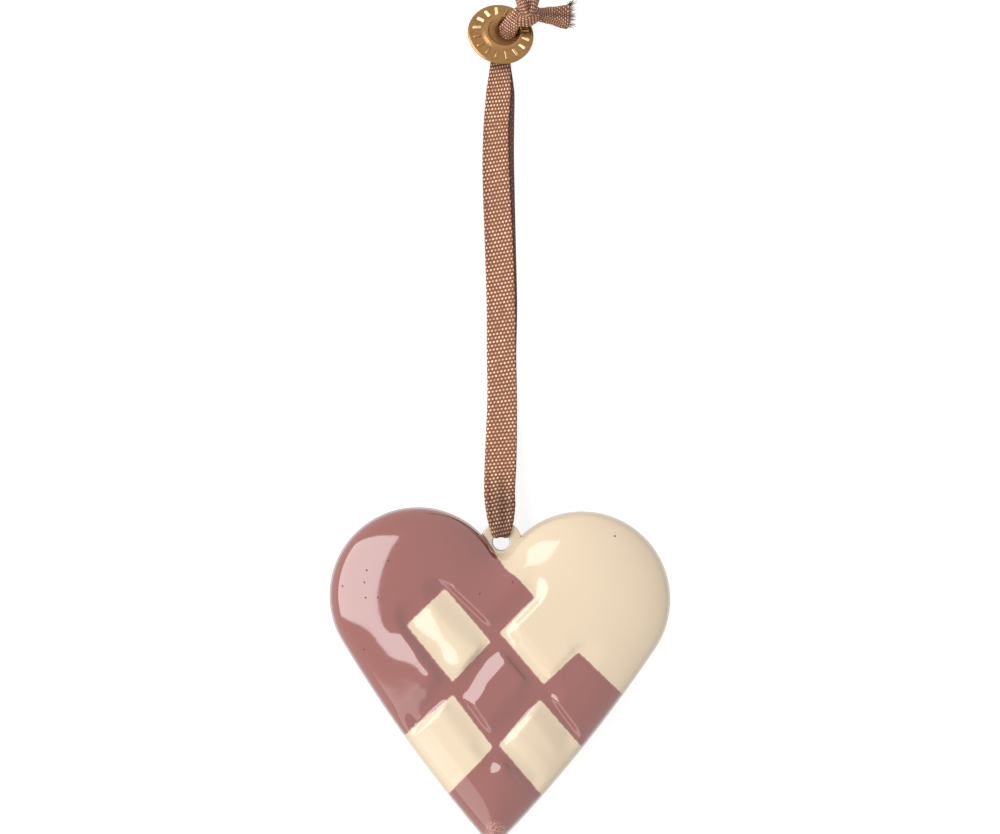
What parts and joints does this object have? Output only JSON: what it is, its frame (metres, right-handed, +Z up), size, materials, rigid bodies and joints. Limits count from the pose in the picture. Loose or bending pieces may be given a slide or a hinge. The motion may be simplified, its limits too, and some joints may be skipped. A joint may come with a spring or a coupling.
{
  "type": "woven heart ornament on a ribbon",
  "caption": "Enamelled metal heart pressed in a woven relief of two colours, on a folded metallic ribbon threaded through a dished brass disc and knotted.",
  "frame": {"origin": "on the table under the middle of the heart, which lies on its back", "axes": "+Z up out of the heart's front, +Y from the heart's tip to its cleft and along the ribbon, +X to the right seen from the front"},
  "size_m": [0.0699, 0.1754, 0.014],
  "materials": {
    "enamel": "thick glossy enamel, dusty rose and cream",
    "ribbon": "woven ribbon with metallic thread",
    "brass": "stamped, worn brass"
  },
  "bodies": {
    "root": {"heart": "enamel", "ribbon": "ribbon", "brass_disc": "brass"}
  },
  "joints": []
}
